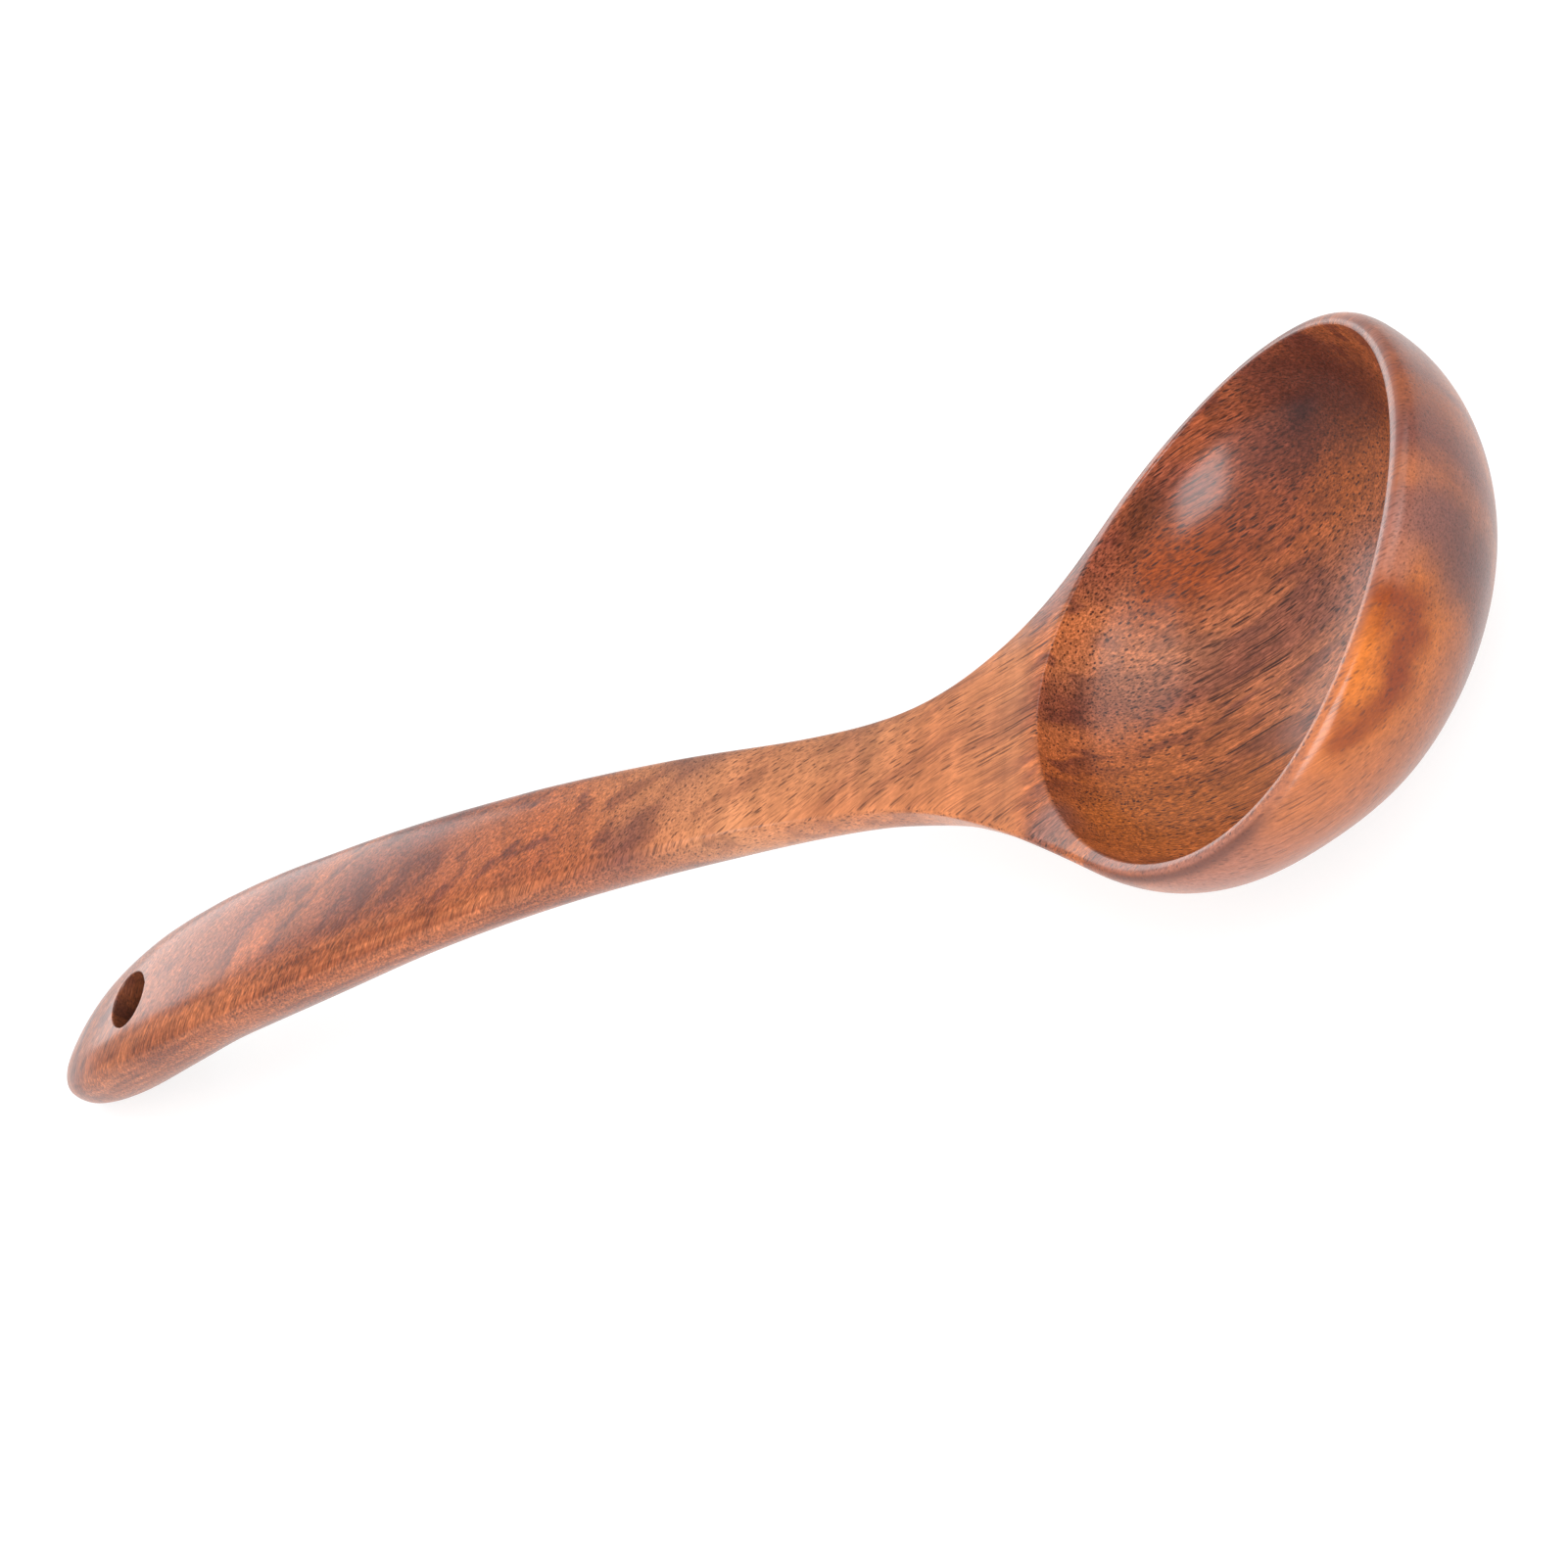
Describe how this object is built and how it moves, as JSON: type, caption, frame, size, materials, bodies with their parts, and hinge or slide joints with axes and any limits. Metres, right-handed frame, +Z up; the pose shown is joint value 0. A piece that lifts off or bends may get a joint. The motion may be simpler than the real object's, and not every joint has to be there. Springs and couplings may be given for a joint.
{
  "type": "wooden soup ladle",
  "caption": "One-piece carved wooden soup ladle with a deep round bowl, flared shoulder, arched handle and a hanging hole.",
  "frame": {"origin": "on the table, in the middle of the ladle's bounding box as it lies on the bowl and the handle's end", "axes": "+X along the ladle towards the bowl's tip, +Y across to the left, +Z up from the table"},
  "size_m": [0.2982, 0.0892, 0.0567],
  "materials": {
    "wood": "satin lacquer on reddish-brown open-pored wood"
  },
  "bodies": {
    "root": {"carved_ladle": "wood"}
  },
  "joints": []
}
